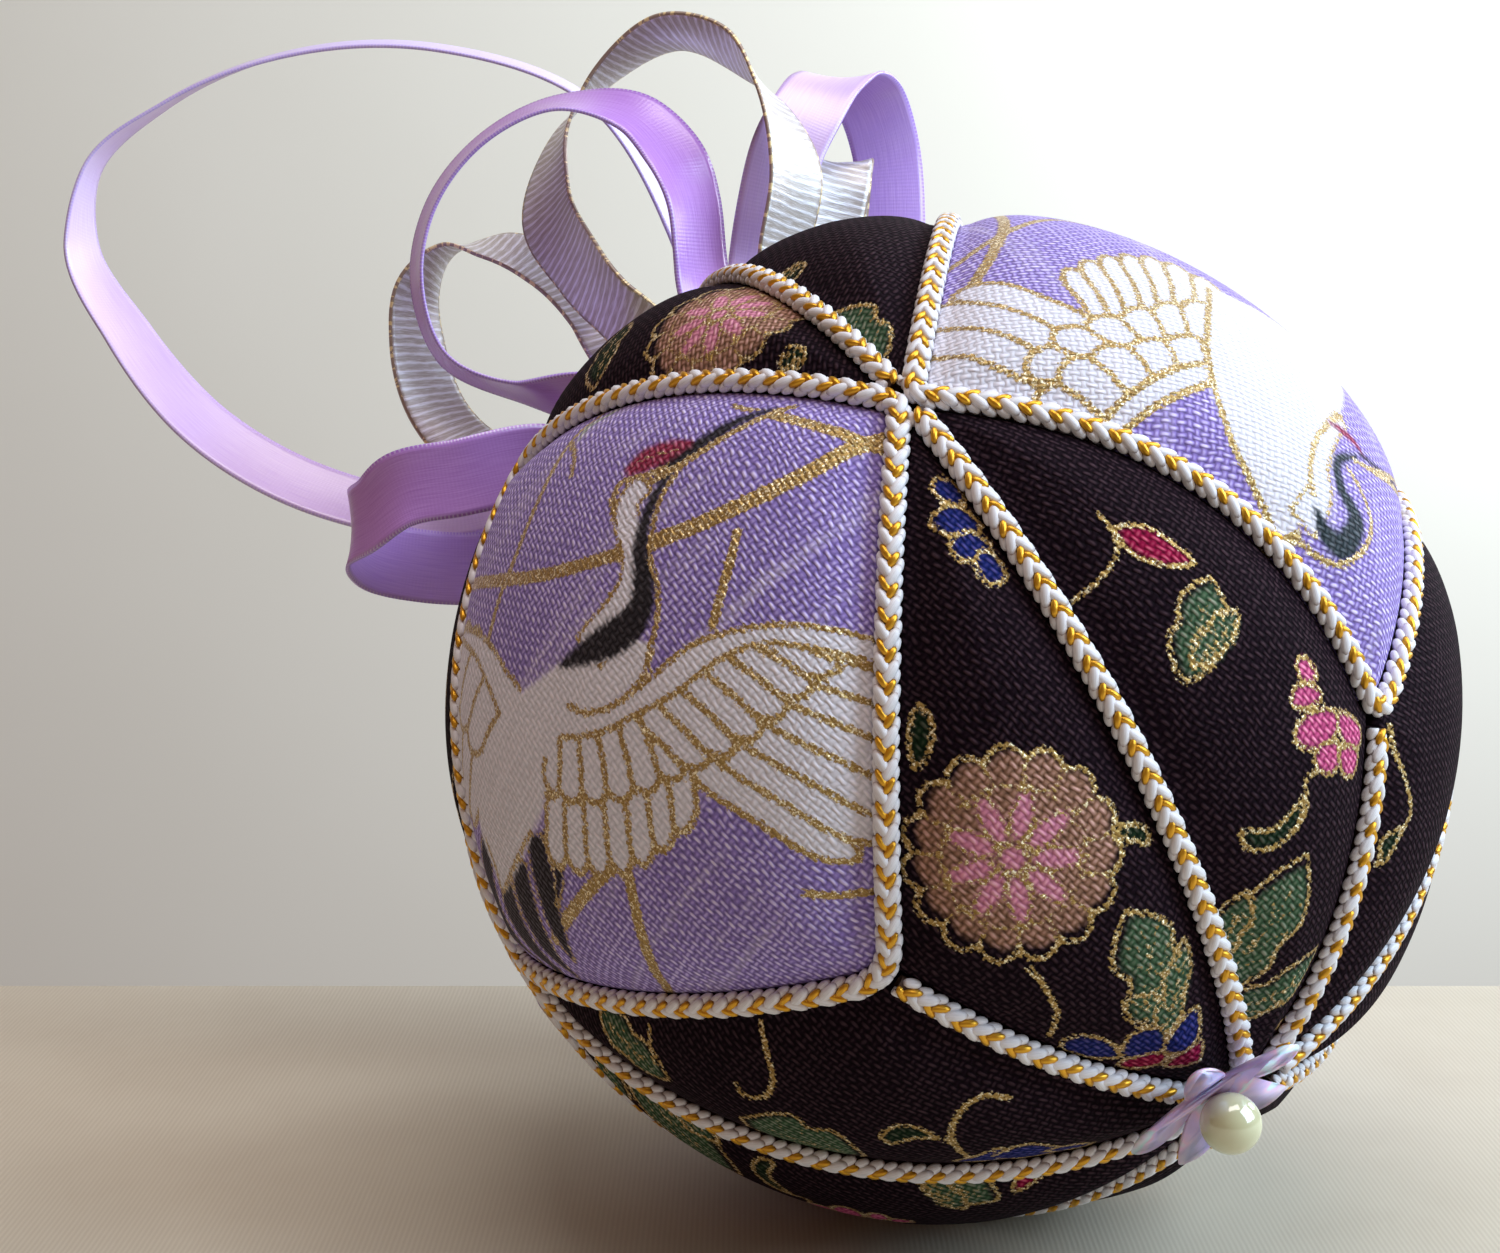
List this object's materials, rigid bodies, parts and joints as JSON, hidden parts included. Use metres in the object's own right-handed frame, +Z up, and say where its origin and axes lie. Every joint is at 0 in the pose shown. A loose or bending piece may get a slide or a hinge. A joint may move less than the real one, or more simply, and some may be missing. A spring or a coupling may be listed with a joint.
{
  "type": "kimekomi ball",
  "caption": "Fabric-covered kimekomi ball with braided seams, a pearl-centred flower at one pole and a spray of ribbon loops with a hanging loop at the other.",
  "frame": {"origin": "the middle of the flat spot on which the ball rests", "axes": "+Z up, +X to the right and +Y away from the viewer of the picture; the ribbons are at -X and +Y"},
  "size_m": [0.1179, 0.0887, 0.0944],
  "materials": {
    "lavender_cotton": "lavender cotton with white and gold crane print",
    "dark_cotton": "aubergine cotton with gold-outlined flower print",
    "braided_cord": "white satiny braid with gold strands",
    "satin_ribbon": "glossy lavender satin",
    "silver_ribbon": "silver lame with gold edges",
    "iridescent_sequin": "clear iridescent lilac",
    "pearl": "cream pearl gloss",
    "brass": "polished pin head"
  },
  "bodies": {
    "root": {"diamond_1": "lavender_cotton", "diamond_2": "lavender_cotton", "diamond_3": "lavender_cotton", "diamond_4": "lavender_cotton", "petal_low_1": "dark_cotton", "petal_low_2": "dark_cotton", "petal_low_3": "dark_cotton", "petal_low_4": "dark_cotton", "petal_low_5": "dark_cotton", "petal_low_6": "dark_cotton", "petal_low_7": "dark_cotton", "petal_low_8": "dark_cotton", "petal_high_1": "dark_cotton", "petal_high_2": "dark_cotton", "petal_high_3": "dark_cotton", "petal_high_4": "dark_cotton", "petal_high_5": "dark_cotton", "petal_high_6": "dark_cotton", "petal_high_7": "dark_cotton", "petal_high_8": "dark_cotton", "ring_cord_1": "braided_cord", "ring_cord_2": "braided_cord", "ring_cord_3": "braided_cord", "ring_cord_4": "braided_cord", "long_cord_low_1": "braided_cord", "long_cord_low_2": "braided_cord", "long_cord_low_3": "braided_cord", "long_cord_low_4": "braided_cord", "long_cord_high_1": "braided_cord", "long_cord_high_2": "braided_cord", "long_cord_high_3": "braided_cord", "long_cord_high_4": "braided_cord", "short_cord_low_1": "braided_cord", "short_cord_low_2": "braided_cord", "short_cord_low_3": "braided_cord", "short_cord_low_4": "braided_cord", "short_cord_high_1": "braided_cord", "short_cord_high_2": "braided_cord", "short_cord_high_3": "braided_cord", "short_cord_high_4": "braided_cord", "hanging_loop": "satin_ribbon", "satin_loop_left": "satin_ribbon", "satin_loop_low": "satin_ribbon", "satin_loop_right": "satin_ribbon", "silver_loop_top": "silver_ribbon", "silver_loop_left": "silver_ribbon", "silver_loop_right": "silver_ribbon", "flower_sequin": "iridescent_sequin", "pearl_bead": "pearl", "ribbon_pin": "brass"}
  },
  "joints": []
}
